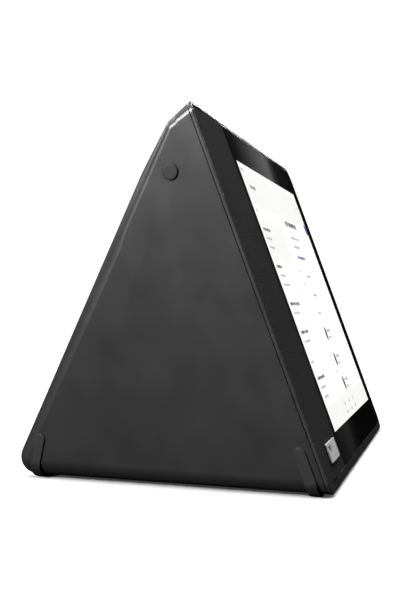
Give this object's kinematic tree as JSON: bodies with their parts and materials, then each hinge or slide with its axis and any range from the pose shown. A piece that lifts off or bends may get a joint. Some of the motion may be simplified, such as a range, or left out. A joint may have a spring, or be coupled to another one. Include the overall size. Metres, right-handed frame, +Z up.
{
  "type": "smart display",
  "caption": "Wedge-shaped smart display: leaning glass touch screen with a cloth speaker grille at its left end, flat slanted left side and sloping back.",
  "frame": {"origin": "middle of the object's box, at the level of the feet's undersides", "axes": "+Z up, +X towards the right end of the screen as its user sees it, the screen faces -Y and leans back"},
  "size_m": [0.263, 0.1216, 0.1346],
  "materials": {
    "casing": "satin, fine texture",
    "trim": "satin",
    "inner_plastic": "matte",
    "cloth": "fine woven",
    "glass": "polished, printed black at the back outside the lit area",
    "badge_metal": "satin",
    "screen": "lit",
    "aluminium": "satin",
    "steel": "satin",
    "board": "solder mask",
    "film": "film",
    "copper": "satin",
    "socket": "matte",
    "ferrite": "matte",
    "paper": "pulp",
    "rubber": "matte",
    "cable": "matte",
    "lens": "polished"
  },
  "bodies": {
    "root": {"backlight_unit": "aluminium", "badge": "badge_metal", "board_screw_1": "steel", "board_screw_2": "steel", "board_screw_3": "steel", "board_screw_4": "steel", "camera_lens": "lens", "camera_module": "inner_plastic", "chassis_plate": "steel", "chassis_screw_1": "steel", "chassis_screw_2": "steel", "chassis_screw_3": "steel", "chassis_screw_4": "steel", "control_board": "board", "display_ribbon": "film", "driver_basket": "steel", "driver_magnet": "ferrite", "driver_spider": "film", "driver_surround": "rubber", "driver_yoke": "steel", "front_frame": "trim", "front_left_foot": "rubber", "grille_fabric": "cloth", "grille_plate": "inner_plastic", "heat_sink": "aluminium", "lcd_cell": "screen", "main_board": "board", "microphone_1": "steel", "microphone_2": "steel", "mute_switch": "steel", "power_socket": "socket", "processor_shield": "steel", "radiator_frame": "steel", "radiator_surround": "rubber", "rear_left_foot": "rubber", "rear_shell": "casing", "right_foot": "rubber", "side_pad": "rubber", "spare_antenna": "copper", "speaker_box": "inner_plastic", "speaker_cable": "cable", "touch_glass": "glass", "touch_ribbon": "film", "volume_down_switch": "steel", "volume_up_switch": "steel", "wireless_antenna": "copper", "wireless_module": "steel"},
    "volume_down": {"volume_down_button": "trim"},
    "volume_up": {"volume_up_button": "trim"},
    "mute": {"mic_mute_slide": "trim"},
    "shutter": {"camera_shutter": "trim"},
    "cone": {"driver_cone": "paper", "driver_dust_cap": "paper"},
    "radiator": {"radiator_plate": "paper"}
  },
  "joints": [
    {"name": "volume_down_press", "type": "slide", "parent": "root", "child": "volume_down", "axis": [0, -0.6239, -0.7815], "range_m": [0, 0.0006], "stiffness_N_per_m": 2000, "springref_m": -0.0002},
    {"name": "volume_up_press", "type": "slide", "parent": "root", "child": "volume_up", "axis": [0, -0.6239, -0.7815], "range_m": [0, 0.0006], "stiffness_N_per_m": 2000, "springref_m": -0.0002},
    {"name": "mute_slide", "type": "slide", "parent": "root", "child": "mute", "axis": [1, 0, 0], "range_m": [0, 0.003]},
    {"name": "shutter_slide", "type": "slide", "parent": "root", "child": "shutter", "axis": [-1, 0, 0], "range_m": [0, 0.006]},
    {"name": "cone_stroke", "type": "slide", "parent": "root", "child": "cone", "axis": [0, 0.9391, -0.3437], "range_m": [-0.0015, 0.0015], "stiffness_N_per_m": 1200},
    {"name": "radiator_stroke", "type": "slide", "parent": "root", "child": "radiator", "axis": [0, 0.9391, -0.3437], "range_m": [-0.0014, 0.0014], "stiffness_N_per_m": 1000}
  ]
}
